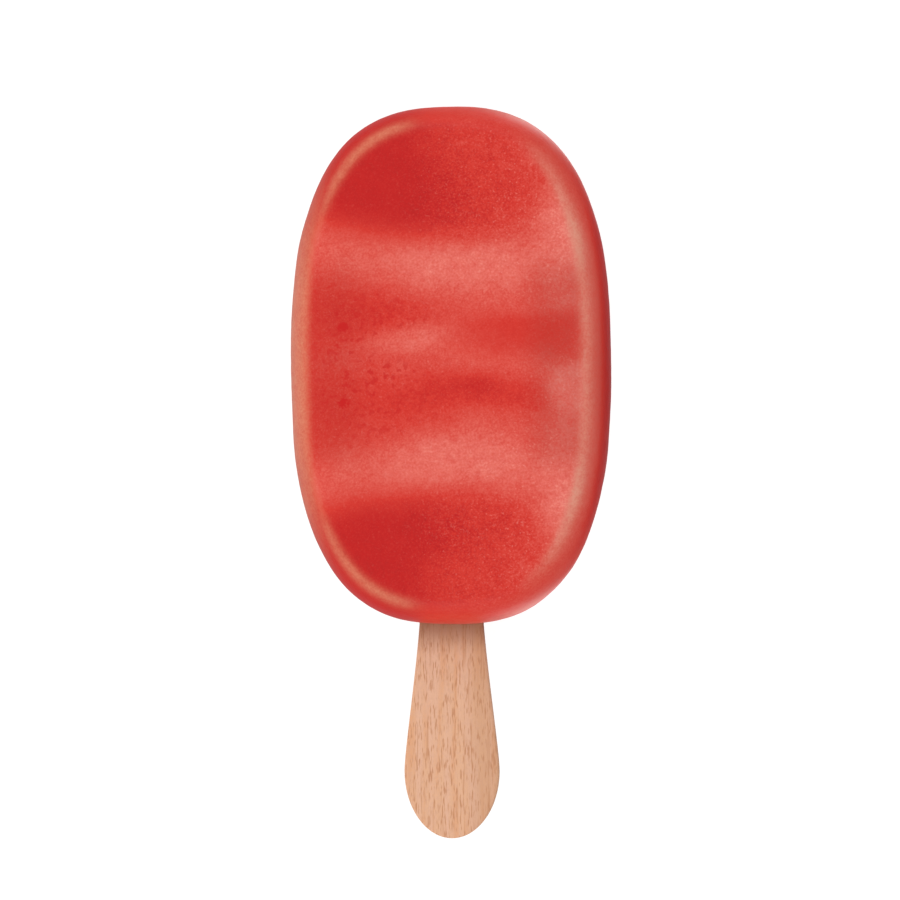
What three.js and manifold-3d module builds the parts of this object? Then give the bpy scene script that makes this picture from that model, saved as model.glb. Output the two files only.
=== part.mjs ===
// Ice pop: a bar of frozen fruit ice on a flat wooden stick, lying on its back.
// Millimetres. +X runs across the bar, +Y along it towards the tip, +Z up through its thickness.
// The origin is on the surface that the pop lies on, under the middle of its whole length and width.
import * as THREE from "three";
import { mergeVertices } from "three/addons/utils/BufferGeometryUtils.js";
import Module from "manifold-3d";

const wasm = await Module();
wasm.setup();

// The bar's size and plan. Its outline is a superellipse: an oval with fuller corners.
const barLength = 92.5;
const barWidth = 57.2;
const barThickness = 25; // over the ridges, before the back is flattened
const outlinePower = 2.62;

// The moulded edge, from the parting line at mid thickness up to the face.
const edgeReach = 5.5; // how far in from the outline the rounding goes
const edgePower = 2.2; // 2 is an elliptical edge, more is squarer
const faceStartsIn = 4.6; // where the mesh's side bands hand over to its face grid

// The face's relief: a slight crown, two full ridges across the bar and a slanting one between them.
const crownHeight = 0.5;
const outerRidge = { height: 1.2, spread: 4.4, fromMiddle: 17.2, lean: -0.055 };
const innerRidge = { height: 0.75, spread: 2.6, crestX: -9, crestY: 4.6, bow: -0.0085 };
const reliefFade = 9; // the relief dies out over this distance from the outline

// The small flats on the back ridges that the pop lies on.
const restCut = 0.35;

// The stick: a standard waisted ice cream stick, frozen in for most of its length.
const stickLength = 113;
const stickThickness = 2;
const stickEndWidth = 17;
const stickWaistWidth = 11;
const stickEndLength = 12; // of the half ellipse at each end
const stickWaistStart = 43; // from the end to where the sides run parallel
const stickFlare = { atEnd: 4, atWaist: 8 }; // how long the sides keep straight before they bend
const stickEdgeRound = 0.35;
const stickShown = 38.2; // what stands out of the bar
const iceGap = 0.3; // between the stick and the ice round it

// Mesh fineness
const barCells = { across: 26, along: 44, through: 10 };
const stickArcSteps = 8;
const stickEdgeSteps = 2;

// Numerical slack
const centreReach = 1e-9; // a plan point closer to the middle than this is the middle itself
const snapsPerUnit = 1e6; // grid coordinates are rounded to this many steps
const weldDistance = 1e-4;

const halfWidth = barWidth / 2;
const halfLength = barLength / 2;
const shoulderHeight = barThickness / 2 - crownHeight - outerRidge.height;

const bell = (distance, spread) => Math.exp(-0.5 * (distance / spread) ** 2);
const signedPower = (value, power) => Math.sign(value) * Math.abs(value) ** power;

// The outline's point and outward normal in a direction given by a unit disc's point.
function outlineAt(discX, discY) {
  const norm = (Math.abs(discX) ** outlinePower + Math.abs(discY) ** outlinePower) ** (1 / outlinePower);
  const point = new THREE.Vector2((halfWidth * discX) / norm, (halfLength * discY) / norm);
  const normal = new THREE.Vector2(
    signedPower(point.x / halfWidth, outlinePower - 1) / halfWidth,
    signedPower(point.y / halfLength, outlinePower - 1) / halfLength,
  ).normalize();
  return { point, normal };
}

// How far inside the outline a plan point lies, and the share of the way out from the middle.
function placeInPlan(x, y) {
  const reach = Math.hypot(x / halfWidth, y / halfLength);
  if (reach < centreReach) return { share: 0, depth: halfWidth };
  const { point, normal } = outlineAt(x / halfWidth / reach, y / halfLength / reach);
  const share = Math.hypot(x, y) / point.length();
  return { share, depth: (1 - share) * point.dot(normal) };
}

// Height of the ridges over the face, at a plan point.
function ridgeHeight(x, y) {
  const outerY = outerRidge.fromMiddle + outerRidge.lean * x;
  const innerY = innerRidge.crestY + innerRidge.bow * (x - innerRidge.crestX) ** 2;
  const outer = bell(y - outerY, outerRidge.spread) + bell(y + outerY, outerRidge.spread);
  return outerRidge.height * outer + innerRidge.height * bell(y - innerY, innerRidge.spread);
}

// Crown and ridges together, faded out towards the edge.
function reliefHeight(x, y) {
  const { share, depth } = placeInPlan(x, y);
  const fade = THREE.MathUtils.smoothstep(depth, 0, reliefFade);
  return fade * (crownHeight * (1 - share ** 2) + ridgeHeight(x, y));
}

// Height of the rounded edge over the parting line, at a distance in from the outline.
function edgeHeight(depth) {
  const outward = 1 - Math.min(depth / edgeReach, 1);
  return shoulderHeight * (1 - outward ** edgePower) ** (1 / edgePower);
}

// A point of a cube's surface, each coordinate from -1 to 1, carried onto the bar.
// The cube's top and bottom become the faces, and its sides the rounded edge.
function barPoint(u, v, w) {
  const discX = u * Math.sqrt(1 - v ** 2 / 2);
  const discY = v * Math.sqrt(1 - u ** 2 / 2);
  const discRadius = Math.hypot(discX, discY);
  if (discRadius < centreReach) return new THREE.Vector3(0, 0, w * (shoulderHeight + reliefHeight(0, 0)));
  const { point, normal } = outlineAt(discX / discRadius, discY / discRadius);
  const plan = new THREE.Vector2();
  let height;
  if (Math.abs(w) === 1) {
    plan.copy(point).addScaledVector(normal, -faceStartsIn).multiplyScalar(discRadius);
    height = edgeHeight(placeInPlan(plan.x, plan.y).depth);
  } else {
    const faceAngle = Math.acos((1 - faceStartsIn / edgeReach) ** (edgePower / 2));
    const angle = Math.abs(w) * faceAngle;
    const depth = edgeReach * (1 - Math.cos(angle) ** (2 / edgePower));
    plan.copy(point).addScaledVector(normal, -depth);
    height = edgeHeight(depth);
  }
  return new THREE.Vector3(plan.x, plan.y, Math.sign(w) * (height + reliefHeight(plan.x, plan.y)));
}

function barGeometry() {
  const { across, along, through } = barCells;
  const geometry = new THREE.BoxGeometry(2, 2, 2, across, along, through);
  const corners = geometry.getAttribute("position");
  for (let i = 0; i < corners.count; i++) {
    // Coordinates within a hair of 0 or 1 are snapped, so that doubled vertices land together.
    const gridPoint = [corners.getX(i), corners.getY(i), corners.getZ(i)];
    const [u, v, w] = gridPoint.map((c) => Math.round(c * snapsPerUnit) / snapsPerUnit);
    corners.setXYZ(i, ...barPoint(u, v, w));
  }
  return geometry;
}

// The stick's plan, with its free end at y = 0 and its length along +Y. A quarter of it, from the
// end's tip to the middle of a side, is mirrored to the other end and then to the other side.
function stickOutline() {
  const end = stickEndWidth / 2;
  const waist = stickWaistWidth / 2;
  const path = new THREE.Path();
  path.absellipse(0, stickEndLength, end, stickEndLength, -Math.PI / 2, 0);
  path.bezierCurveTo(
    end, stickEndLength + stickFlare.atEnd,
    waist, stickWaistStart - stickFlare.atWaist,
    waist, stickWaistStart,
  );
  path.lineTo(waist, stickLength / 2);
  const quarter = path.getPoints(stickArcSteps);
  const otherEnd = quarter.slice(0, -1).map((p) => new THREE.Vector2(p.x, stickLength - p.y));
  const side = [...quarter, ...otherEnd.reverse()];
  const otherSide = side.slice(1, -1).map((p) => new THREE.Vector2(-p.x, p.y));
  return new THREE.Shape([...side, ...otherSide.reverse()]);
}

// The stick grown all round by a margin, centred through its thickness.
function stickGeometry(margin) {
  const depth = stickThickness + 2 * (margin - stickEdgeRound);
  const geometry = new THREE.ExtrudeGeometry(stickOutline(), {
    depth,
    curveSegments: stickArcSteps,
    bevelSegments: stickEdgeSteps,
    bevelThickness: stickEdgeRound,
    bevelSize: stickEdgeRound,
    bevelOffset: margin - stickEdgeRound,
  });
  return geometry.translate(0, 0, -depth / 2);
}

function toSolid(geometry) {
  const bare = geometry.clone();
  bare.deleteAttribute("normal");
  bare.deleteAttribute("uv");
  const merged = mergeVertices(bare, weldDistance);
  return new wasm.Manifold(
    new wasm.Mesh({
      numProp: 3,
      vertProperties: merged.getAttribute("position").array,
      triVerts: new Uint32Array(merged.index.array),
    }),
  );
}

function toGeometry(solid) {
  const mesh = solid.getMesh();
  const geometry = new THREE.BufferGeometry();
  geometry.setAttribute("position", new THREE.BufferAttribute(mesh.vertProperties, 3));
  geometry.setIndex(new THREE.BufferAttribute(mesh.triVerts, 1));
  geometry.computeVertexNormals();
  return geometry;
}

// The bar with its back ridges flattened and the slot that the stick is frozen into.
function iceGeometry(stickStart) {
  const bar = barGeometry();
  bar.computeBoundingBox();
  const restLevel = bar.boundingBox.min.z + restCut;
  const below = new THREE.BoxGeometry(2 * barWidth, 2 * barLength, barThickness);
  below.translate(0, 0, restLevel - barThickness / 2);
  const slot = stickGeometry(iceGap).translate(0, stickStart, 0);
  const ice = toSolid(bar).subtract(toSolid(below)).subtract(toSolid(slot));
  return { geometry: toGeometry(ice), restLevel };
}

function namedMesh(name, geometry, material) {
  const mesh = new THREE.Mesh(geometry, material);
  mesh.name = name;
  return mesh;
}

const fruitIce = new THREE.MeshStandardMaterial({ color: 0xd43c35, roughness: 0.45, metalness: 0 });
const beech = new THREE.MeshStandardMaterial({ color: 0xe0ae88, roughness: 0.7, metalness: 0 });

const stickStart = -halfLength - stickShown; // the stick's free end, from the middle of the bar
const { geometry: iceShape, restLevel } = iceGeometry(stickStart);
const ice = namedMesh("ice", iceShape, fruitIce);
const stick = namedMesh("stick", stickGeometry(0), beech);
stick.position.y = stickStart;

const icePop = new THREE.Group();
icePop.add(ice, stick);
icePop.position.set(0, stickShown / 2, -restLevel);

export default icePop;
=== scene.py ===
# %% [markdown]
# # Dressing an ice pop
#
# The object is a bar of frozen fruit ice on a flat wooden stick, lying on its back on a pale table.
# A CAD model gives its solids and their real sizes. This lesson keeps those sizes and works on what
# the eye meets: the moulded form, the frost on its ridges, the clear juice in its hollows, and the
# grain of the stick.

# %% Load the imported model
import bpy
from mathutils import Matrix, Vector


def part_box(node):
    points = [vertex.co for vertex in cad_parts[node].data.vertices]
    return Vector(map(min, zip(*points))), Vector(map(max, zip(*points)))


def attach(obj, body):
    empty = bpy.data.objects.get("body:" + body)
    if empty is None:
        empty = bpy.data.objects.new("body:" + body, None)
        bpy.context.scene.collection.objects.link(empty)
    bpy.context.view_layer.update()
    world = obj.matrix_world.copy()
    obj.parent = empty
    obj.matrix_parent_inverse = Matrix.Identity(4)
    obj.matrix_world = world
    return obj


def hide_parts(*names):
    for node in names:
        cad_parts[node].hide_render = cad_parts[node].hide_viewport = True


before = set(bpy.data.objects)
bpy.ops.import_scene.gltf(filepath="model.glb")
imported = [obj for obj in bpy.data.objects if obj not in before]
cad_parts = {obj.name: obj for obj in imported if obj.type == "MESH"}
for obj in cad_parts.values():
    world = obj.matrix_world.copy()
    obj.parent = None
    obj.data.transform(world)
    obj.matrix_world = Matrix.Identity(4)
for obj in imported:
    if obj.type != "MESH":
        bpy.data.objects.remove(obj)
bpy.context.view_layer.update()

# %% The tools that the cells share
import math

import bmesh
import bpy
import numpy as np
from mathutils import Matrix, Vector, noise

MM = 0.001

# %% [markdown]
# ## Sizes
#
# Everything below is worked out in millimetres, measured from the middle of the bar, because that is
# how a mould maker would draw it. The bar's own box gives its width and length. The stick runs
# through the bar at half its thickness, so the middle of the stick's box gives the height of the
# widest part of the bar.

# %% Measure the bar and the stick
bar_low, bar_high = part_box("ice")
stick_low, stick_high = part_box("stick")
half_width = (bar_high.x - bar_low.x) / 2 / MM
half_length = (bar_high.y - bar_low.y) / 2 / MM
bar_middle = Vector((0, (bar_low.y + bar_high.y) / 2, (stick_low.z + stick_high.z) / 2))
print(f"bar {2 * half_width:.1f} x {2 * half_length:.1f} mm, widest {bar_middle.z / MM:.2f} mm up")

# %% [markdown]
# ## The camera
#
# The picture looks down on the pop, with its tip up the page and a little more of the bar's right
# flank in sight than of its left. A long lens keeps the sides of the bar from spreading. The distance
# follows from one known size: how many pixels of the picture the bar's width takes.

# %% Place the camera
PICTURE_SIDE_PX = 900
BAR_WIDTH_PX = 319.6
BAR_MIDDLE_PX = (451, 365.8)
LENS = 135
SENSOR = 36
LEAN_TO_THE_RIGHT = math.radians(6)
ROLL = math.radians(-0.15)

px_per_mm = BAR_WIDTH_PX / (2 * half_width)
picture_side = PICTURE_SIDE_PX / px_per_mm * MM
camera_data = bpy.data.cameras.new("camera")
camera_data.lens = LENS
camera_data.sensor_width = SENSOR
camera = bpy.data.objects.new("camera", camera_data)
bpy.context.collection.objects.link(camera)
right_of_bar = (PICTURE_SIDE_PX / 2 - BAR_MIDDLE_PX[0]) / px_per_mm * MM
below_bar = (PICTURE_SIDE_PX / 2 - BAR_MIDDLE_PX[1]) / px_per_mm * MM
pose = Matrix.Rotation(LEAN_TO_THE_RIGHT, 4, "Y") @ Matrix.Rotation(ROLL, 4, "Z")
camera.location = bar_middle + pose @ Vector((right_of_bar, -below_bar, picture_side * LENS / SENSOR))
camera.rotation_euler = pose.to_euler()
bpy.context.scene.camera = camera
print(f"camera {camera.location.z / MM:.0f} mm above the table, {px_per_mm:.3f} pixels to the millimetre")

# %% [markdown]
# ## Colours and nodes
#
# Colours are written as the hex values of a paint chart and turned to the linear values that a
# renderer works with. One helper adds a shader node, with its settings and its links, so that each
# material below reads as a list of what is added to what.

# %% Two helpers
def linear(hex_colour):
    """A colour such as "#d43c35" as linear red, green, blue and alpha."""
    shares = [int(hex_colour[i : i + 2], 16) / 255 for i in (1, 3, 5)]
    return *((s / 12.92 if s <= 0.04045 else ((s + 0.055) / 1.055) ** 2.4) for s in shares), 1


def add(tree, kind, inputs=None, **settings):
    """Adds a node. An input is a plain value, or another node's output to link it to."""
    node = tree.nodes.new(kind)
    for name, value in settings.items():
        setattr(node, name, value)
    for socket, value in (inputs or {}).items():
        if isinstance(value, bpy.types.NodeSocket):
            tree.links.new(value, node.inputs[socket])
        else:
            node.inputs[socket].default_value = value
    return node


FACTOR, MIX_A, MIX_B, MIXED = 0, 6, 7, 2  # the colour sockets of a Mix node
JUICE_RED = "#c3110f"
print("juice red in linear light:", [round(c, 3) for c in linear(JUICE_RED)])

# %% [markdown]
# ## The table and the light
#
# Ice looks like ice when light reaches it from all round: a single lamp would leave black shadows in
# a body that is half clear. So the pop lies on a sheet of opal acrylic that is lit from below, inside
# a light tent, as is common for pictures of food on plain white. The acrylic is a plane that glows a
# little. Glossy rays don't see it, and a dim world lies under it, because a white table mirrored in
# the wet flanks would wash out their red.

# %% The table
TABLE_SIDE = 6  # in metres, so that its edges are far out of sight

bpy.ops.mesh.primitive_plane_add(size=TABLE_SIDE)
table = bpy.context.object
table.name = "table"
opal_acrylic = bpy.data.materials.new("opal acrylic, lit from below")
opal_acrylic.use_nodes = True
acrylic = opal_acrylic.node_tree.nodes["Principled BSDF"]
acrylic.inputs["Base Color"].default_value = linear("#808080")
acrylic.inputs["Roughness"].default_value = 0.9
acrylic.inputs["Specular IOR Level"].default_value = 0.1
acrylic.inputs["Emission Color"].default_value = linear("#ffffff")
acrylic.inputs["Emission Strength"].default_value = 0.9
table.data.materials.append(opal_acrylic)
table.visible_glossy = False
print("table of", table.data.materials[0].name)

# %% [markdown]
# The tent is the world's background: even and white above the table, dim below it. A low black card
# stands at the right; it and the painted shade on that flank make that flank of the bar the darkest.
# A low strip of light stands on either side of it. Ice mirrors little face on and much at a grazing
# angle, so the strips show only as a pale line along the very rim. Two large soft lamps, one beyond
# the tip and one beyond the stick, light both ends and both sides of every ridge.

# %% The tent, the card, the strips and the lamps
TENT = 0.95
BELOW_HORIZON = 0.3
HORIZON_SOFTNESS = 0.1
CARD = {"starts": 0.15, "full": 0.55, "left_over": 0.22}  # along +X, and less so the higher it looks
# Rightness is 1 towards +X and 0 towards the tip or the stick.
STRIPS = {"rightness": 0.34, "full_within": 0.08, "none_beyond": 0.34, "glow": 1.8}
SOFTBOX = {"elevation": 40, "distance": 0.8, "side": 0.5, "share": 0.13}
SOFTBOX_AZIMUTHS = (90, 270)

world = bpy.data.worlds.new("light tent")
world.use_nodes = True
tent = world.node_tree
towards = add(tent, "ShaderNodeTexCoord").outputs["Generated"]
axes = add(tent, "ShaderNodeSeparateXYZ", {0: towards})
level_part = add(tent, "ShaderNodeVectorMath", {0: towards, 1: (1, 1, 0)}, operation="MULTIPLY")
heading_to = add(tent, "ShaderNodeVectorMath", {0: level_part.outputs[0]}, operation="NORMALIZE")
rightness = add(tent, "ShaderNodeSeparateXYZ", {0: heading_to.outputs[0]}).outputs["X"]
past_strips = add(tent, "ShaderNodeMath", {0: rightness, 1: STRIPS["rightness"]}, operation="SUBTRACT")
off_strips = add(tent, "ShaderNodeMath", {0: past_strips.outputs[0]}, operation="ABSOLUTE")
below = add(
    tent,
    "ShaderNodeMapRange",
    {
        "Value": off_strips.outputs[0],
        "From Min": STRIPS["full_within"],
        "From Max": STRIPS["none_beyond"],
        "To Min": STRIPS["glow"],
        "To Max": BELOW_HORIZON,
    },
    interpolation_type="SMOOTHSTEP",
)
above = add(
    tent,
    "ShaderNodeMapRange",
    {
        "Value": axes.outputs["Z"],
        "From Min": -HORIZON_SOFTNESS,
        "From Max": 0,
        "To Min": below.outputs[0],
        "To Max": TENT,
    },
)
lowness = add(tent, "ShaderNodeMapRange", {"Value": axes.outputs["Z"], "To Min": 1, "To Max": 0})
low_right = add(tent, "ShaderNodeMath", {0: axes.outputs["X"], 1: lowness.outputs[0]}, operation="MULTIPLY")
beside = add(
    tent,
    "ShaderNodeMapRange",
    {
        "Value": low_right.outputs[0],
        "From Min": CARD["starts"],
        "From Max": CARD["full"],
        "To Min": 1,
        "To Max": CARD["left_over"],
    },
)
brightness = add(tent, "ShaderNodeMath", {0: above.outputs[0], 1: beside.outputs[0]}, operation="MULTIPLY")
tent.links.new(brightness.outputs[0], tent.nodes["Background"].inputs["Strength"])
tent.nodes["Background"].inputs["Color"].default_value = linear("#ffffff")
bpy.context.scene.world = world
bpy.context.scene.view_settings.view_transform = "Standard"

softbox_data = bpy.data.lights.new("softbox", "AREA")
softbox_data.size = SOFTBOX["side"]
softbox_data.energy = SOFTBOX["share"] * (math.pi * SOFTBOX["distance"]) ** 2
elevation = math.radians(SOFTBOX["elevation"])
for azimuth in SOFTBOX_AZIMUTHS:
    softbox = bpy.data.objects.new("softbox", softbox_data)
    level = Vector((math.cos(math.radians(azimuth)), math.sin(math.radians(azimuth)), 0))
    aim = level * math.cos(elevation) + Vector((0, 0, math.sin(elevation)))
    softbox.location = bar_middle + aim * SOFTBOX["distance"]
    softbox.rotation_euler = aim.to_track_quat("Z", "Y").to_euler()
    bpy.context.collection.objects.link(softbox)
print(f"softboxes of {softbox_data.energy:.2f} W, each {SOFTBOX['share']} of a white tent")

# %% [markdown]
# ## The form of the bar
#
# The bar was frozen in a mould. Its outline is a superellipse, an oval with fuller corners. The edge
# is rounded from the parting line at half the thickness up to the face. Across the face run two full
# ridges, where a finger would grip, and a slanting one between them. Sculpting would do for one look,
# but a formula gives the same form as the solid in every view and at every fineness. So the functions
# here say how high the bar is at each point of its plan, and everything else is built on them.

# %% The outline
OUTLINE_POWER = 2.62  # 2 is an ellipse, more is fuller
TINY = 1e-9


def outline_at(disc_x, disc_y):
    """The outline's point and its outward normal, in a direction given by a point of a disc."""
    size = (abs(disc_x) ** OUTLINE_POWER + abs(disc_y) ** OUTLINE_POWER) ** (1 / OUTLINE_POWER)
    size = np.maximum(size, TINY)
    x = half_width * disc_x / size
    y = half_length * disc_y / size
    steep_x = np.sign(x) * abs(x / half_width) ** (OUTLINE_POWER - 1) / half_width
    steep_y = np.sign(y) * abs(y / half_length) ** (OUTLINE_POWER - 1) / half_length
    steepness = np.maximum(np.hypot(steep_x, steep_y), TINY)
    return x, y, steep_x / steepness, steep_y / steepness


def place_in_plan(x, y):
    """The share of the way from the middle out to the outline, and the depth inside it in mm."""
    outline_x, outline_y, normal_x, normal_y = outline_at(x / half_width, y / half_length)
    share = np.hypot(x, y) / np.maximum(np.hypot(outline_x, outline_y), TINY)
    depth = (1 - share) * (outline_x * normal_x + outline_y * normal_y)
    return share, np.where(share < TINY, half_width, depth)


print(f"the corners fill {1 / 2 ** (1 / OUTLINE_POWER):.3f} of the half width, an ellipse's 0.707")

# %% The moulded edge and the ridges
EDGE_REACH = 5.5  # how far in from the outline the rounding goes
EDGE_POWER = 2.2
SHOULDER_HEIGHT = 10.8  # of the face over the parting line, without its crown and ridges
CROWN_HEIGHT = 0.5
RELIEF_FADE = 9  # the ridges die out over this distance from the outline
OUTER_RIDGE = {"height": 1.2, "spread": 4.4, "from_middle": 17.2, "lean": -0.055}
INNER_RIDGE = {"height": 0.75, "spread": 2.6, "crest_x": -9, "crest_y": 4.6, "bow": -0.0085}


def bell(distance, spread):
    """1 at no distance, and near 0 from two and a half spreads on."""
    return np.exp(-0.5 * (distance / spread) ** 2)


def ease(value, start, end):
    """Goes smoothly from 0 at the start to 1 at the end."""
    share = np.clip((value - start) / (end - start), 0, 1)
    return share * share * (3 - 2 * share)


def edge_height(depth):
    outward = 1 - np.clip(depth / EDGE_REACH, 0, 1)
    return SHOULDER_HEIGHT * (1 - outward**EDGE_POWER) ** (1 / EDGE_POWER)


def relief_height(x, y):
    share, depth = place_in_plan(x, y)
    outer_y = OUTER_RIDGE["from_middle"] + OUTER_RIDGE["lean"] * x
    inner_y = INNER_RIDGE["crest_y"] + INNER_RIDGE["bow"] * (x - INNER_RIDGE["crest_x"]) ** 2
    outer = bell(y - outer_y, OUTER_RIDGE["spread"]) + bell(y + outer_y, OUTER_RIDGE["spread"])
    ridges = OUTER_RIDGE["height"] * outer + INNER_RIDGE["height"] * bell(y - inner_y, INNER_RIDGE["spread"])
    return ease(depth, 0, RELIEF_FADE) * (CROWN_HEIGHT * (1 - share**2) + ridges)


crest = relief_height(np.zeros(1), np.full(1, OUTER_RIDGE["from_middle"]))[0]
print(f"ridges up to {crest:.2f} mm over the face")

# %% [markdown]
# ## From a cube to the bar
#
# A closed body of four-sided faces can be carried over from the surface of a cube: the cube's top and
# bottom become the bar's faces, and its sides the rounded edge. A sphere would crowd its faces at two
# poles, and a flat grid would have ragged ends at the outline. The cube has neither, and its rows run
# round the edge just as the light does.

# %% A cube's surface as a grid
SEWN_WITHIN = 0.001  # points of neighbouring sides that lie this near, in mm, become one


def cube_surface(cells):
    """Corners from -1 to 1 and four-sided faces of a cube's six sides, cut into cells."""
    corners, faces = [], []
    for axis in range(3):
        first, second = (axis + 1) % 3, (axis + 2) % 3
        for side in (-1, 1):
            steps = [np.linspace(-1, 1, cells[k] + 1) for k in (first, second)]
            sheet = np.zeros((cells[first] + 1, cells[second] + 1, 3))
            sheet[..., axis] = side
            sheet[..., first] = steps[0][:, None]
            sheet[..., second] = steps[1][None, :]
            number = np.arange(sheet.shape[0] * sheet.shape[1]).reshape(sheet.shape[:2])
            number += sum(len(part) for part in corners)
            loop = [number[:-1, :-1], number[1:, :-1], number[1:, 1:], number[:-1, 1:]]
            faces.append(np.stack(loop[::side], axis=-1).reshape(-1, 4))
            corners.append(sheet.reshape(-1, 3))
    return np.concatenate(corners), np.concatenate(faces)


def mesh_piece(name, points, faces, material):
    """A smooth mesh object from points in mm, measured from the bar's middle."""
    mesh = bpy.data.meshes.new(name)
    mesh.from_pydata((points * MM + np.array(bar_middle)).tolist(), [], faces.tolist())
    sewn = bmesh.new()
    sewn.from_mesh(mesh)
    bmesh.ops.remove_doubles(sewn, verts=sewn.verts, dist=SEWN_WITHIN * MM)
    sewn.to_mesh(mesh)
    sewn.free()
    mesh.shade_smooth()
    mesh.materials.append(material)
    piece = bpy.data.objects.new(name, mesh)
    bpy.context.collection.objects.link(piece)
    return piece


print("a cube of 1 x 1 x 1 cells has", len(cube_surface((1, 1, 1))[1]), "faces")

# %% The bar
BAR_CELLS = (100, 165, 72)  # across, along and through, about half a millimetre each
FACE_STARTS_IN = 4.6  # where the cube's sides hand over to its top, in from the outline


def bar_surface(u, v, w):
    """Carries points of a cube's surface onto the bar."""
    disc_x = u * np.sqrt(1 - v**2 / 2)
    disc_y = v * np.sqrt(1 - u**2 / 2)
    disc_radius = np.hypot(disc_x, disc_y)
    outline_x, outline_y, normal_x, normal_y = outline_at(disc_x, disc_y)
    face_angle = math.acos((1 - FACE_STARTS_IN / EDGE_REACH) ** (EDGE_POWER / 2))
    edge_depth = EDGE_REACH * (1 - np.cos(abs(w) * face_angle) ** (2 / EDGE_POWER))
    on_face = abs(w) > 1 - TINY
    inset = np.where(on_face, FACE_STARTS_IN, edge_depth)
    pull = np.where(on_face, disc_radius, 1)
    x = (outline_x - normal_x * inset) * pull
    y = (outline_y - normal_y * inset) * pull
    depth = np.where(on_face, place_in_plan(x, y)[1], edge_depth)
    z = np.sign(w) * (edge_height(depth) + relief_height(x, y))
    return np.stack([x, y, z], axis=1)


fruit_ice = bpy.data.materials.new("fruit ice, frozen in a mould")
fruit_ice.use_nodes = True
corners, faces = cube_surface(BAR_CELLS)
ice = mesh_piece("fruit_ice_bar", bar_surface(*corners.T), faces, fruit_ice)
print(len(ice.data.polygons), "faces in the bar")

# %% [markdown]
# ## Uneven ice
#
# Ice leaves the mould with a skin that thawed a little and froze again, so nothing on it is quite
# flat. Moving the points along their normals by smooth noise of two sizes gives the broad waviness
# and the fine grain that break up the shine. The move is made in the mesh and not in the material, so
# it shows at the outline as well. The pop still lies on its back ridges, so no point goes below the
# table.

# %% Lumps and grain
LUMPS = {"across": 9, "height": 0.12}
GRAIN = {"across": 1.3, "height": 0.03}


def noise_at(points, across):
    """Smooth noise from -1 to 1 with features of a size in mm."""
    return np.array([noise.noise(Vector(p)) for p in points / across])


corner_count = len(ice.data.vertices)
flat_points, flat_normals = np.empty(3 * corner_count), np.empty(3 * corner_count)
ice.data.vertices.foreach_get("co", flat_points)
ice.data.vertices.foreach_get("normal", flat_normals)
moulded = (flat_points.reshape(-1, 3) - np.array(bar_middle)) / MM
proud = sum(layer["height"] * noise_at(moulded, layer["across"]) for layer in (LUMPS, GRAIN))
uneven = moulded + flat_normals.reshape(-1, 3) * proud[:, None]
uneven[:, 2] = np.maximum(uneven[:, 2], -bar_middle.z / MM)
ice.data.vertices.foreach_set("co", (uneven * MM + np.array(bar_middle)).ravel())
ice.data.update()
print(f"the skin is uneven by {proud.min():.2f} to {proud.max():.2f} mm")

# %% [markdown]
# ## Where the frost lies
#
# What makes the bar look frozen is the play of two states of one ice. Where it is raised, air and
# frost make it pale and pink. In the hollows and at the ends the juice froze clear, and the eye looks
# into deep red. A plain noise texture can't know where the ridges are, so the amount of frost is
# worked out for each mesh point and stored as an attribute, which the material reads. 0 stands for
# clear juice and 1 for thick frost.
#
# The full ridges carry a pale band from side to side. Between them the frost follows the slanting
# ridge, with oval pools of clear juice above and below it.

# %% Frost on the two faces
MIDDLE_FROST = 0.49
BAND_FROST = {"x": (-14, -3, 11, 17), "frost": (0.66, 0.87, 0.86, 0.67)}
END_FROST = {"x": (-5, 13, 20), "frost": (-0.01, 0.32, 0.5)}
BAND_INNER_EDGE = {"from_middle": 12.6, "bow": 0.0085, "nearest_x": 2, "soft": 1.3}
BAND_OUTER_EDGE = {"from_middle": 22, "lean": -0.05, "bow": 0.0055, "soft": 1.4}
UPPER_BAND_NARROWER = 0.35
CLEAR_WEDGE = {"frost": 0.3, "left": 4, "right": 24.2, "bottom": 1.8, "top": 8.6}
WEDGE_SOFT = {"left": 1.8, "right": 0.5, "bottom": 0.8, "top": 0.45}
WEDGE_SLANT = 0.25  # how far its right end moves left for each mm down from its top
WEDGE_PALER = {"by": 0.06, "x": (12, 24)}  # towards its right end
CENTRE_PATCHES = (
    # gain, middle, half size, turn, softness
    (-0.33, (10.4, -4.6), (9.4, 2.9), -0.14, 0.28),  # clear juice below the slanting ridge
    (-0.12, (6, -3.5), (2.4, 1.4), 0, 0.3),  # its deepest spot
    (-0.18, (-1, -6.2), (7, 3.6), 0, 0.35),  # and its shallow left end
    (0.28, (-6.7, 4.5), (7.4, 2.2), 0.12, 0.22),  # the thick end of the slanting ridge
    (0.09, (-8, 2), (12, 3.2), 0.05, 0.3),  # its soft lower side
    (0.05, (12, -1.5), (16, 2), -0.25, 0.3),  # its thin end
    (0.36, (24.4, -4.1), (6.2, 4.3), 0.1, 0.13),  # the fan of frost where it runs out
    (-0.26, (-14.5, 9.5), (12, 6), 0, 0.3),  # the hollow at its upper left
    (-0.23, (-18, -8), (12, 8.5), -0.35, 0.4),  # and at its lower left
    (0.07, (9, -3), (7, 17), -0.18, 0.15),  # a veil over the middle
)
END_PATCH = (0.14, (2, 39), (7, 4), 0, 0.3)  # thin frost at the tip and, mirrored, at the stick
FAR_OFF = 40  # in softnesses: by there a step has reached 0 or 1


def step(value, soft):
    """Goes from 0 to 1 where the value passes 0, over a soft distance."""
    return 1 / (1 + np.exp(-np.clip(value / soft, -FAR_OFF, FAR_OFF)))


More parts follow.
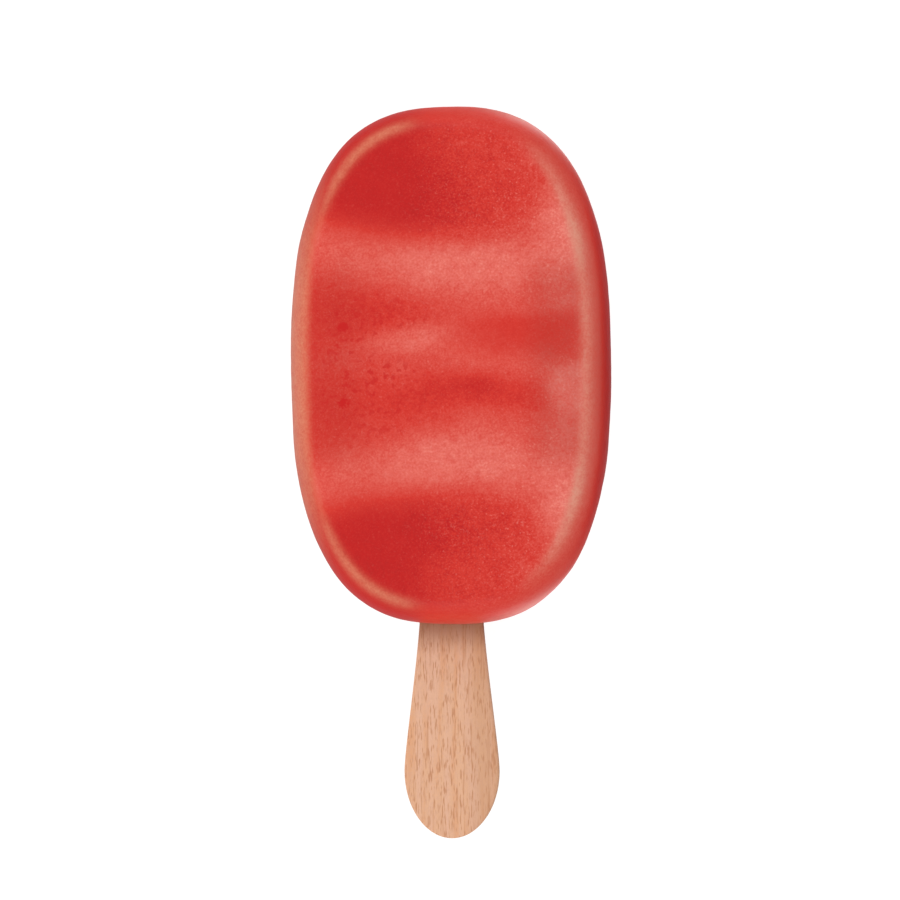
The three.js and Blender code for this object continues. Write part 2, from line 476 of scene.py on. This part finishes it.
def patch(x, y, middle, half_size, turn, soft):
    """An oval patch: 1 inside, 0 outside, with a soft edge."""
    along = (x - middle[0]) * math.cos(turn) + (y - middle[1]) * math.sin(turn)
    across = (y - middle[1]) * math.cos(turn) - (x - middle[0]) * math.sin(turn)
    return step(1 - np.hypot(along / half_size[0], across / half_size[1]), soft)


def clear_wedge(x, y):
    """The pool above the slanting ridge, crisp at its top and its slanting right end."""
    from_top = CLEAR_WEDGE["top"] - y
    right_end = CLEAR_WEDGE["right"] - WEDGE_SLANT * from_top
    sides = step(x - CLEAR_WEDGE["left"], WEDGE_SOFT["left"]) * step(right_end - x, WEDGE_SOFT["right"])
    from_bottom = y - CLEAR_WEDGE["bottom"]
    return sides * step(from_bottom, WEDGE_SOFT["bottom"]) * step(from_top, WEDGE_SOFT["top"])


def band_shares(x, y):
    """How far a point belongs to the pale bands over the full ridges, and to the bar's ends."""
    inner, outer = BAND_INNER_EDGE, BAND_OUTER_EDGE
    inner_edge = inner["from_middle"] + inner["bow"] * (x - inner["nearest_x"]) ** 2
    outer_edge = outer["from_middle"] + outer["lean"] * x + outer["bow"] * x**2
    outer_edge = outer_edge - UPPER_BAND_NARROWER * (y > 0)
    return step(abs(y) - inner_edge, inner["soft"]), step(abs(y) - outer_edge, outer["soft"])


def frost_on_face(x, y):
    """How much frost lies at a point of the face, from 0 for clear juice to 1."""
    frost = np.full_like(x, MIDDLE_FROST)
    for gain, middle, half_size, turn, soft in CENTRE_PATCHES:
        frost += gain * patch(x, y, middle, half_size, turn, soft)
    in_wedge = CLEAR_WEDGE["frost"] + WEDGE_PALER["by"] * ease(x, *WEDGE_PALER["x"])
    frost += (in_wedge - frost) * clear_wedge(x, y)
    in_band, in_end = band_shares(x, y)
    frost += (np.interp(x, BAND_FROST["x"], BAND_FROST["frost"]) - frost) * in_band
    frost += (np.interp(x, END_FROST["x"], END_FROST["frost"]) - frost) * in_end
    gain, middle, half_size, turn, soft = END_PATCH
    frost += gain * patch(x, abs(y), middle, half_size, turn, soft)
    return np.maximum(frost, 0)


x, y, z = moulded.T
depth = place_in_plan(x, y)[1]
frost = frost_on_face(x, y)
face_frost = frost[depth > EDGE_REACH]
print(f"frost on the faces from {face_frost.min():.2f} to {face_frost.max():.2f}")

# %% [markdown]
# ## The edge of the mould
#
# The flanks are red, with little frost on the left half of the bar and more on the right half and at
# its corners. Down the right side the flank is painted darker towards the rim, as painted shade where
# it faces away from the light, and goes over to frost at the shoulder. From there a pale wash spreads
# on to the face, most of it at the corners. The direction in which the outline faces tells these
# places apart: its x part is 1 at the right side, 0 at the tip and the stick, and -1 at the left.

# %% Frost on the flanks
# On the right the flank's value goes below zero: painted shade, as that flank faces away from the light.
FLANK_FROST_AND_SHADE = {"left": 0.05, "ends": 0.35, "corners": 0.08, "right": -0.02}
FACING_POWER = {"right": 10, "left": 12}  # a higher power keeps closer to the middle of the side
TURNS_RIGHT = {"facing": -0.1, "soft": 0.05}
CORNER_FLANK = {"facing": 0.75, "spread": 0.18}
RIGHT_SHOULDER = {"frost": 0.6, "rise": (0, 1.9)}  # the depths between which the painted shade of the rim gives way to frost
WASH = {"frost": 0.88, "on_side": 0.45, "on_corners": 0.5, "facing": (0.74, 0.95), "fade": (6, 15)}
WASH_CORNER = {"from_middle": 23, "spread": 4.4}
WASH_GAP = {"middle": 5, "rise": (3, 6)}  # it leaves the clear wedge out
FLANK_ENDS = {"left": (2.6, 4.4), "right": (2.9, 4.7)}  # the depths between which a flank hands over

facing_x = outline_at(x / half_width, y / half_length)[2]
faces_right = np.clip(facing_x, 0, 1) ** FACING_POWER["right"]
faces_left = np.clip(-facing_x, 0, 1) ** FACING_POWER["left"]
in_end = band_shares(x, y)[1]
wash_corner = bell(abs(y) - WASH_CORNER["from_middle"], WASH_CORNER["spread"])

wash = WASH["on_side"] + WASH["on_corners"] * wash_corner
wash *= ease(facing_x, *WASH["facing"]) * (1 - ease(depth, *WASH["fade"]))
wash *= ease(abs(y - WASH_GAP["middle"]), *WASH_GAP["rise"])
frost += (WASH["frost"] - frost) * wash

on_right = step(facing_x - TURNS_RIGHT["facing"], TURNS_RIGHT["soft"])
flank = FLANK_FROST_AND_SHADE["left"] + (FLANK_FROST_AND_SHADE["ends"] - FLANK_FROST_AND_SHADE["left"]) * on_right
flank += FLANK_FROST_AND_SHADE["corners"] * bell(facing_x - CORNER_FLANK["facing"], CORNER_FLANK["spread"])
# The right flank: painted shade, darkest at the rim, giving way to frost at the shoulder.
right_flank_frost_and_shade = FLANK_FROST_AND_SHADE["right"] + RIGHT_SHOULDER["frost"] * ease(depth, *RIGHT_SHOULDER["rise"])
flank += (right_flank_frost_and_shade - flank) * faces_right
handed_over = ease(depth, *FLANK_ENDS["left"]) * (1 - on_right)
handed_over += ease(depth, *FLANK_ENDS["right"]) * on_right
frost += (flank - frost) * (1 - handed_over)
print(f"frost on the flanks from {frost[depth < 2].min():.2f} to {frost[depth < 2].max():.2f}")

# %% [markdown]
# Where the rounded edge meets the face, a pale line is painted in: a painted highlight, the shine
# that light draws along the shoulder. It follows the outline about four millimetres in, clearest round
# the corners, fainter down the right side and gone at the tip and the stick. The left flank is painted
# pale all the way down, as painted light falling on it from the left. A second painted highlight, thin
# and pale, lies on the rim itself, most of it at the left. At the upper and lower right little of it
# is needed, because the strips of light already draw the rim.

# %% Painted highlights along the shoulder, on the left flank and on the rim
LINE_IN = 4.0  # from the outline to the milky line
LINE_NEARER = {"right": 0.3, "left": 0.7, "tips": 0.35}  # how much nearer the outline it runs there
TIPS = {"facing": -0.15, "spread": 0.2}
LINE_SPREAD = 0.72
LINE_WIDER_OUT = {"by": 0.25, "soft": 0.1}  # on the right half, towards the outline
LINE_HIGHLIGHT = {"left": 0.65, "right": 0.5, "right_corners": 0.28}
LINE_FACING = {"left": (0.02, 0.3), "right": (0.45, 0.98)}  # where the line comes in
HIGHLIGHT_CORNER = {"from_middle": 22.5, "spread": 3.4}
LEFT_FLANK_LIGHT = {"amount": 0.7, "ends": (3.2, 5.4)}
RIM_HIGHLIGHT = {"right_corners": 0.2, "left": 0.4, "ends": 0.25, "left_flank": 0.13}
RIM_REACH = {"right_corners": (0, 1.9), "left": (0, 0.7), "ends": (0, 0.6), "left_flank": (1, 4)}
RIM_CORNER = {"facing": 0.4, "spread": 0.2}
RIM_ENDS = {"facing": -0.2, "soft": 0.08, "fade": (0.4, 0.8)}
RIM_RISE = (1, 5.5)  # how far above or below the parting line the painted rim highlight comes in

# Painted highlight: the pale line along the shoulder, and painted light down the left flank.
tips = bell(facing_x - TIPS["facing"], TIPS["spread"])
line_in = LINE_IN - LINE_NEARER["right"] * faces_right - LINE_NEARER["left"] * faces_left
line_in = line_in - LINE_NEARER["tips"] * tips
beyond = depth - line_in
wider = LINE_SPREAD + LINE_WIDER_OUT["by"] * step(facing_x, LINE_WIDER_OUT["soft"])
line = bell(beyond, np.where(beyond < 0, wider, LINE_SPREAD))
left_line_highlight = LINE_HIGHLIGHT["left"] * ease(-facing_x, *LINE_FACING["left"]) * (1 - faces_left) * line
lit_left_flank = LEFT_FLANK_LIGHT["amount"] * faces_left * (1 - ease(depth + 1 - faces_left, *LEFT_FLANK_LIGHT["ends"]))
left_painted_light = np.maximum(left_line_highlight, lit_left_flank)
highlight_corner = bell(abs(y) - HIGHLIGHT_CORNER["from_middle"], HIGHLIGHT_CORNER["spread"])
right_painted_highlight = (LINE_HIGHLIGHT["right"] + LINE_HIGHLIGHT["right_corners"] * highlight_corner) * line
right_painted_highlight *= ease(facing_x, *LINE_FACING["right"])

# Painted highlight on the rim itself, most of it at the left.
near_rim = {place: 1 - ease(depth, *reach) for place, reach in RIM_REACH.items()}
rim_corner = bell(facing_x - RIM_CORNER["facing"], RIM_CORNER["spread"])
rim_ends = step(facing_x - RIM_ENDS["facing"], RIM_ENDS["soft"]) * (1 - ease(facing_x, *RIM_ENDS["fade"]))
rim = RIM_HIGHLIGHT["right_corners"] * rim_corner * near_rim["right_corners"]
rim += RIM_HIGHLIGHT["left"] * faces_left * near_rim["left"]
rim += RIM_HIGHLIGHT["ends"] * rim_ends * near_rim["ends"]
rim *= ease(abs(z), *RIM_RISE)
rim += RIM_HIGHLIGHT["left_flank"] * faces_left * near_rim["left_flank"]
rim = np.clip(rim, 0, 1)
print(f"milk up to {left_painted_light.max():.2f} on the left and {right_painted_highlight.max():.2f} on the right")

# %% [markdown]
# Four more amounts finish the painting. Grit is how much the frost varies from spot to spot. Crystals
# are the coarse bright ones, of which the right ends of the bands grew most. Drops are beads of clear
# juice, most of them in the left hollows. Shade is painted shade, black mixed into the colour: it lies
# inside the shoulders, where light that went into the ice leaves again by the flanks, and along the
# right flank, the darkest place of the bar.

# %% Grit, crystals, drops and shade
GRIT = {"least": 0.35, "with_frost": 0.55, "less_in_wedge": 0.45}
END_GRIT = {"left": 0.2, "more_right": 0.65, "from_x": -2, "soft": 2.5}
GRIT_AT_EDGE = {"least": 0.4, "more": 0.6, "rise": (2, 6)}
CRYSTALS = {"least": 0.55, "more": 0.45, "x": (2, 14), "y": (8, 16), "rise": (0.5, 3)}
DROPS = {"least": 0.1, "more": 0.9, "rise": (3, 6), "up_to_frost": (0.4, 0.58)}
DROPS_PATCH = ((-13, 0), (10, 12), 0, 0.25)  # middle, half size, turn, softness
SHOULDER_SHADE = (
    # amount, side, distances from the middle where it starts and is full, and the same two depths
    (0.14, 1, (12, 19), (3.4, 5.6)),
    (0.08, -1, (10, 20), (3.4, 5)),
)
SHADE_ENDS = (14, 21)  # along the bar, from where it starts to fade to where it is gone
FLANK_SHADE = {"amount": 0.11, "spread": 13, "fade": (1, 4)}

grit = GRIT["least"] + GRIT["with_frost"] * np.clip(frost, 0, 1)
grit *= 1 - GRIT["less_in_wedge"] * clear_wedge(x, y)
grit_in_end = END_GRIT["left"] + END_GRIT["more_right"] * step(x - END_GRIT["from_x"], END_GRIT["soft"])
grit += (grit_in_end - grit) * in_end
grit *= GRIT_AT_EDGE["least"] + GRIT_AT_EDGE["more"] * ease(depth, *GRIT_AT_EDGE["rise"])
coarse = CRYSTALS["least"] + CRYSTALS["more"] * ease(x, *CRYSTALS["x"]) * ease(abs(y), *CRYSTALS["y"])
crystals = coarse * ease(depth, *CRYSTALS["rise"]) * grit
drops = DROPS["least"] + DROPS["more"] * patch(x, y, *DROPS_PATCH)
drops *= ease(depth, *DROPS["rise"]) * (1 - ease(frost, *DROPS["up_to_frost"])) * (1 - in_end)
# Painted shade, mixed in as black by the material.
shade = np.zeros_like(depth)
for amount, side, x_rise, depth_rise in SHOULDER_SHADE:
    shade += amount * ease(depth, *depth_rise) * ease(side * x, *x_rise)
shade *= 1 - ease(abs(y), *SHADE_ENDS)
on_flank = faces_right * bell(y, FLANK_SHADE["spread"]) * (1 - ease(depth, *FLANK_SHADE["fade"]))
shade += FLANK_SHADE["amount"] * on_flank

amounts = {
    "frost": frost,
    "left_painted_light": left_painted_light,
    "right_painted_highlight": right_painted_highlight,
    "rim": rim,
    "shade": shade,
    "grit": grit,
    "crystals": crystals,
    "drops": drops,
}
for name, values in amounts.items():
    attribute = ice.data.attributes.new(name, "FLOAT", "POINT")
    attribute.data.foreach_set("value", values.astype(np.float32))
    print(f"{name}: {values.min():.2f} to {values.max():.2f}")

# %% [markdown]
# ## Fruit ice
#
# Fruit ice is water, sugar and fruit, frozen quickly in a metal mould. Its refractive index is that
# of ice, 1.31, so it is less shiny than plastic or glass, and the skin is finely grained, which
# spreads what shine there is. Light goes in a little way and comes out red, so a share of subsurface
# scattering softens every edge.
#
# The colour is a ramp from clear juice to frost. Clouds of noise shift the place on the ramp, so that
# no two spots are quite alike. Ice crystals and drops of clear juice lie on top, where the grit and
# drops attributes put them.

# %% The colour of fruit ice
CLEAREST = -0.25  # below 0 lies a darker red than clear juice: deep juice where the mottles dip, and painted shade on the flank that faces away from the light
RAMP_ENDS = ("#a51714", "#eb8375")  # the darkest red, for deep juice and painted shade, and the thickest frost
FROST_COLOURS = (
    (0.0, JUICE_RED),
    (0.3, "#d53023"),
    (0.6, "#dd5144"),
    (0.9, "#e77164"),
)
MOTTLES = ((6, 0.06), (1.4, 0.08), (0.4, 0.14))  # size in mm, and how far it shifts the frost
NOISE_SWING = {"low": 0.3, "high": 0.7}  # most of a noise pattern lies between these
PATCHINESS = 1.5  # how much the mottles thin and thicken the covers
# Colours mixed over the ramp: painted highlights along the shoulders, painted light on the left flank, a
# painted rim highlight, and black for painted shade.
COVERS = (
    ("left_painted_light", "#d98262"),
    ("right_painted_highlight", "#e29a84"),
    ("rim", "#f2ab9a"),
    ("shade", "#000000"),
)

tree = fruit_ice.node_tree
shader = tree.nodes["Principled BSDF"]
where = add(tree, "ShaderNodeTexCoord").outputs["Object"]
painted = {
    name: add(tree, "ShaderNodeAttribute", attribute_name=name).outputs["Fac"] for name in amounts
}


def per_mm(size):
    """The scale of a pattern whose features are of a size in mm."""
    return 1 / (size * MM)


cloudy = 0
for size, shift in MOTTLES:
    cloud = add(tree, "ShaderNodeTexNoise", {"Vector": where, "Scale": per_mm(size), "Detail": 1})
    swing = add(
        tree,
        "ShaderNodeMapRange",
        {
            "Value": cloud.outputs["Fac"],
            "From Min": NOISE_SWING["low"],
            "From Max": NOISE_SWING["high"],
            "To Min": -shift,
            "To Max": shift,
        },
    )
    cloudy = add(tree, "ShaderNodeMath", {0: swing.outputs[0], 1: cloudy}, operation="ADD").outputs[0]
shifted = {0: cloudy, 1: painted["grit"], 2: painted["frost"]}
pale = add(tree, "ShaderNodeMath", shifted, operation="MULTIPLY_ADD").outputs[0]
on_ramp = add(tree, "ShaderNodeMapRange", {"Value": pale, "From Min": CLEAREST, "From Max": 1})
ramp = add(tree, "ShaderNodeValToRGB", {"Fac": on_ramp.outputs[0]})
stops = ramp.color_ramp.elements
stops[0].color = linear(RAMP_ENDS[0])
stops[1].color = linear(RAMP_ENDS[1])
for level, colour in FROST_COLOURS:
    stops.new((level - CLEAREST) / (1 - CLEAREST)).color = linear(colour)
body = ramp.outputs["Color"]
patchy = add(tree, "ShaderNodeMath", {0: cloudy, 1: PATCHINESS, 2: 1}, operation="MULTIPLY_ADD").outputs[0]
for name, colour in COVERS:
    amount = add(tree, "ShaderNodeMath", {0: painted[name], 1: patchy}, operation="MULTIPLY")
    cover = {FACTOR: amount.outputs[0], MIX_A: body, MIX_B: linear(colour)}
    body = add(tree, "ShaderNodeMix", cover, data_type="RGBA").outputs[MIXED]
print(len(stops), "colours on the ramp,", len(MOTTLES), "sizes of mottle")

# %% [markdown]
# Real ice crystals are about a tenth of a millimetre across. They are drawn three times as coarse
# here, so that they show as the faint glitter that the eye sees from arm's length. A noise pattern
# that is cut off near its peaks gives such grains, in uneven sizes and at uneven distances, where a
# cell pattern would give even dots.

# %% Crystals and drops of juice
DROP_RED = "#c90f0b"
SPRINKLES = (
    # size in mm, noise level where a grain starts and where it is full, colour, strength, attribute
    (0.3, 0.50, 0.75, "#f4a596", 0.12, "grit"),
    (0.5, 0.62, 0.78, "#f7b5a6", 0.26, "crystals"),
    (1.0, 0.53, 0.64, DROP_RED, 0.7, "drops"),
)
BEADS = ((-18, 6.6), (-18, -6.8))  # the middles of two large beads of juice
BEAD_RADIUS = {"outer": 1.1, "inner": 0.5, "unevenness": 2}  # the last is the clouds' share in mm

for size, start, full, colour, strength, attribute in SPRINKLES:
    grains = add(tree, "ShaderNodeTexNoise", {"Vector": where, "Scale": per_mm(size), "Detail": 1})
    shown = add(
        tree,
        "ShaderNodeMapRange",
        {"Value": grains.outputs["Fac"], "From Min": start, "From Max": full, "To Max": strength},
        interpolation_type="SMOOTHSTEP",
    )
    amount = add(tree, "ShaderNodeMath", {0: shown.outputs[0], 1: painted[attribute]}, operation="MULTIPLY")
    cover = {FACTOR: amount.outputs[0], MIX_A: body, MIX_B: linear(colour)}
    body = add(tree, "ShaderNodeMix", cover, data_type="RGBA").outputs[MIXED]

in_plan = add(tree, "ShaderNodeVectorMath", {0: where, 1: (1, 1, 0)}, operation="MULTIPLY").outputs[0]
for across, along in BEADS:
    middle = (across * MM, bar_middle.y + along * MM, 0)
    away = add(tree, "ShaderNodeVectorMath", {0: in_plan, 1: middle}, operation="DISTANCE")
    uneven_away = {0: cloudy, 1: BEAD_RADIUS["unevenness"] * MM, 2: away.outputs["Value"]}
    radius = add(tree, "ShaderNodeMath", uneven_away, operation="MULTIPLY_ADD").outputs[0]
    bead = add(
        tree,
        "ShaderNodeMapRange",
        {"Value": radius, "From Min": BEAD_RADIUS["outer"] * MM, "From Max": BEAD_RADIUS["inner"] * MM},
        interpolation_type="SMOOTHSTEP",
    )
    cover = {FACTOR: bead.outputs[0], MIX_A: body, MIX_B: linear(DROP_RED)}
    body = add(tree, "ShaderNodeMix", cover, data_type="RGBA").outputs[MIXED]
tree.links.new(body, shader.inputs["Base Color"])
print(len(SPRINKLES), "kinds of grain in the ice and", len(BEADS), "large beads")

# %% The skin of the ice
CRUST = {"across": 0.55, "height": 0.05, "strength": 0.6}
ROUGHNESS = {"juice": 0.34, "frost": 0.5}

crust = add(tree, "ShaderNodeTexNoise", {"Vector": where, "Scale": per_mm(CRUST["across"]), "Detail": 1})
grained = {
    "Height": crust.outputs["Fac"],
    "Distance": CRUST["height"] * MM,
    "Strength": CRUST["strength"],
}
bump = add(tree, "ShaderNodeBump", grained)
dulled = add(
    tree,
    "ShaderNodeMapRange",
    {
        "Value": pale,
        "From Min": 0,
        "From Max": 1,
        "To Min": ROUGHNESS["juice"],
        "To Max": ROUGHNESS["frost"],
    },
)
tree.links.new(bump.outputs["Normal"], shader.inputs["Normal"])
tree.links.new(dulled.outputs[0], shader.inputs["Roughness"])
shader.inputs["IOR"].default_value = 1.31
shader.inputs["Subsurface Weight"].default_value = 0.25
shader.inputs["Subsurface Radius"].default_value = (1.0, 0.3, 0.25)
shader.inputs["Subsurface Scale"].default_value = 2 * MM
print("ice: IOR", shader.inputs["IOR"].default_value)

# %% [markdown]
# ## The stick
#
# The stick is cut from thin veneer with a punch: half an ellipse at each end, sides that draw in to a
# waist, and edges tumbled until they no longer splinter. Its outline is a quarter drawn once, as an
# arc, a curve and a straight line, and mirrored. The same cube carries it: the cube's long sides walk
# along the outline, so the faces stay even all the way round the tip.

# %% A quarter of the stick's outline
STICK_LENGTH = (stick_high.y - stick_low.y) / MM
END_HALF_WIDTH = (stick_high.x - stick_low.x) / 2 / MM
HALF_THICKNESS = (stick_high.z - stick_low.z) / 2 / MM
WAIST_HALF_WIDTH = 5.5
END_LENGTH = 12
WAIST_STARTS = 43
FLARE = {"at_end": 4, "at_waist": 8}  # how long the side keeps straight before it bends
OUTLINE_STEPS = 60

turn = np.linspace(0, math.pi / 2, OUTLINE_STEPS)
end_arc = np.stack([END_HALF_WIDTH * np.sin(turn), END_LENGTH * (1 - np.cos(turn))], axis=1)
t = np.linspace(0, 1, OUTLINE_STEPS)[1:, None]
weights = np.hstack([(1 - t) ** 3, 3 * t * (1 - t) ** 2, 3 * t**2 * (1 - t), t**3])
flare_points = np.array([
    (END_HALF_WIDTH, END_LENGTH),
    (END_HALF_WIDTH, END_LENGTH + FLARE["at_end"]),
    (WAIST_HALF_WIDTH, WAIST_STARTS - FLARE["at_waist"]),
    (WAIST_HALF_WIDTH, WAIST_STARTS),
])
middle_of_side = np.array([[WAIST_HALF_WIDTH, STICK_LENGTH / 2]])
quarter = np.vstack([end_arc, weights @ flare_points, middle_of_side])
walked = np.concatenate([[0], np.cumsum(np.hypot(*np.diff(quarter, axis=0).T))])
print(f"a quarter of the outline is {walked[-1]:.1f} mm long")

# %% The stick's surface
EDGE_ROUND = 0.35
TIP_HALF_WIDTH = 0.8  # the cube's short side covers this much of the tip
FLAT_SHARE = 0.4  # of the cube's height, and the rounded edge has the rest
STICK_CELLS = (36, 240, 10)
tip_walk = np.interp(TIP_HALF_WIDTH, end_arc[:, 0], walked[: len(end_arc)])
heading = np.gradient(quarter, walked, axis=0)


def stick_side(walk, inset):
    """The quarter outline's point after a walk along it, moved in from the edge."""
    x, y = (np.interp(walk, walked, quarter[:, k]) for k in (0, 1))
    along_x, along_y = (np.interp(walk, walked, heading[:, k]) for k in (0, 1))
    length = np.hypot(along_x, along_y)
    return x - inset * along_y / length, y + inset * along_x / length


def stick_surface(u, v, w):
    """Carries points of a cube's surface onto the stick."""
    angle = np.clip((abs(w) - FLAT_SHARE) / (1 - FLAT_SHARE), 0, 1) * math.pi / 2
    flat = (HALF_THICKNESS - EDGE_ROUND) * np.minimum(abs(w) / FLAT_SHARE, 1)
    z = np.sign(w) * (flat + EDGE_ROUND * np.sin(angle))
    at_tip = abs(v) > 1 - TINY
    walk = np.where(at_tip, abs(u) * tip_walk, tip_walk + (1 - abs(v)) * (walked[-1] - tip_walk))
    side_x, side_y = stick_side(walk, EDGE_ROUND * (1 - np.cos(angle)))
    x = np.sign(u) * side_x * np.where(at_tip, 1, abs(u))
    y = np.sign(v) * (STICK_LENGTH / 2 - side_y)
    return np.stack([x, y, z], axis=1)


beech = bpy.data.materials.new("beech veneer, punched and tumbled")
beech.use_nodes = True
corners, faces = cube_surface(STICK_CELLS)
stick_points = stick_surface(*corners.T)
stick_points[:, 1] += ((stick_low.y + stick_high.y) / 2 - bar_middle.y) / MM
stick = mesh_piece("stick_beech", stick_points, faces, beech)
print(len(stick.data.polygons), "faces in the stick")

# %% [markdown]
# ## Beech
#
# Ice cream sticks are beech or birch. Beech shows a warm pinkish ground in long faint bands, fine
# fibres, and the short brown flecks of its rays, a third of a millimetre wide and one or two long,
# which make it easy to tell from birch. It is raw and sanded, so it hardly shines. Every layer is
# smooth noise, stretched along the grain and cut off at its own level. The fibres are drawn a little
# wider than the real ones, which are too fine to show.
#
# The colour is a shade browner towards the stick's right side. Where the stick enters the ice it is
# painted darker: juice soaked into the wood, together with the painted shadow of the bar.

# %% The grain of beech
SANDED_WOOD = "#e3b08c"
GRAIN_LAYERS = (
    # across and along in mm, noise level where it starts and where it is full, tint, strength
    (2.2, 45, 0.40, 0.62, "#e6b79d", 0.6),  # pale bands
    (1.3, 20, 0.50, 0.70, "#dfa074", 0.6),  # browner bands
    (0.2, 4, 0.35, 0.70, "#d6a07c", 0.22),  # fibres
    (0.25, 0.5, 0.40, 0.70, "#d5a58e", 0.35),  # pores
    (0.4, 14, 0.60, 0.74, "#c38862", 0.55),  # long streaks
    (0.2, 2.0, 0.55, 0.68, "#bd7f57", 0.8),  # ray flecks
)
# The brown side starts and is full at these distances, in mm, to the right of the stick's middle.
BROWN_SIDE = {"starts": 1.5, "full": 5.5, "strength": 0.34, "colour": "#bb8763"}
# Painted shadow of the bar together with soaked-in juice, darkest at the ice.
SOAKED_AND_SHADOWED = {"reach": 6, "past_the_rim": 0.5, "strength": 0.75, "colour": "#8d5c40"}
OPEN_GRAIN = {"height": 0.03, "strength": 0.4}

tree = beech.node_tree
shader = tree.nodes["Principled BSDF"]
where = add(tree, "ShaderNodeTexCoord").outputs["Object"]
wood = linear(SANDED_WOOD)
for across, along, start, full, tint, strength in GRAIN_LAYERS:
    scale = (per_mm(across), per_mm(along), per_mm(across))
    stretched = add(tree, "ShaderNodeMapping", {"Vector": where, "Scale": scale})
    lines = add(tree, "ShaderNodeTexNoise", {"Vector": stretched.outputs[0], "Scale": 1, "Detail": 1})
    shown = add(
        tree,
        "ShaderNodeMapRange",
        {"Value": lines.outputs["Fac"], "From Min": start, "From Max": full, "To Max": strength},
        interpolation_type="SMOOTHSTEP",
    )
    cover = {FACTOR: shown.outputs[0], MIX_A: wood, MIX_B: linear(tint)}
    wood = add(tree, "ShaderNodeMix", cover, data_type="RGBA").outputs[MIXED]
place = add(tree, "ShaderNodeSeparateXYZ", {0: where})
brown = add(
    tree,
    "ShaderNodeMapRange",
    {
        "Value": place.outputs["X"],
        "From Min": BROWN_SIDE["starts"] * MM,
        "From Max": BROWN_SIDE["full"] * MM,
        "To Max": BROWN_SIDE["strength"],
    },
    interpolation_type="SMOOTHSTEP",
)
cover = {FACTOR: brown.outputs[0], MIX_A: wood, MIX_B: linear(BROWN_SIDE["colour"])}
wood = add(tree, "ShaderNodeMix", cover, data_type="RGBA").outputs[MIXED]
# Painted shadow and soaked juice: darker towards the ice.
damp_and_shadow = add(
    tree,
    "ShaderNodeMapRange",
    {
        "Value": place.outputs["Y"],
        "From Min": bar_low.y - SOAKED_AND_SHADOWED["reach"] * MM,
        "From Max": bar_low.y + SOAKED_AND_SHADOWED["past_the_rim"] * MM,
        "To Min": 0,
        "To Max": SOAKED_AND_SHADOWED["strength"],
    },
    interpolation_type="SMOOTHSTEP",
)
soaked_and_shadowed = {FACTOR: damp_and_shadow.outputs[0], MIX_A: wood, MIX_B: linear(SOAKED_AND_SHADOWED["colour"])}
wood = add(tree, "ShaderNodeMix", soaked_and_shadowed, data_type="RGBA").outputs[MIXED]
tree.links.new(wood, shader.inputs["Base Color"])
grained = {
    "Height": lines.outputs["Fac"],
    "Distance": OPEN_GRAIN["height"] * MM,
    "Strength": OPEN_GRAIN["strength"],
}
raised = add(tree, "ShaderNodeBump", grained)
tree.links.new(raised.outputs["Normal"], shader.inputs["Normal"])
shader.inputs["Roughness"].default_value = 0.65
shader.inputs["IOR"].default_value = 1.5
shader.inputs["Specular IOR Level"].default_value = 0.3
print(len(GRAIN_LAYERS), "layers of grain")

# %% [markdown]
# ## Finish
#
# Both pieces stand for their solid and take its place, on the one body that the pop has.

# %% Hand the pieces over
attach(ice, "root")
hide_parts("ice")
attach(stick, "root")
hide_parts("stick")
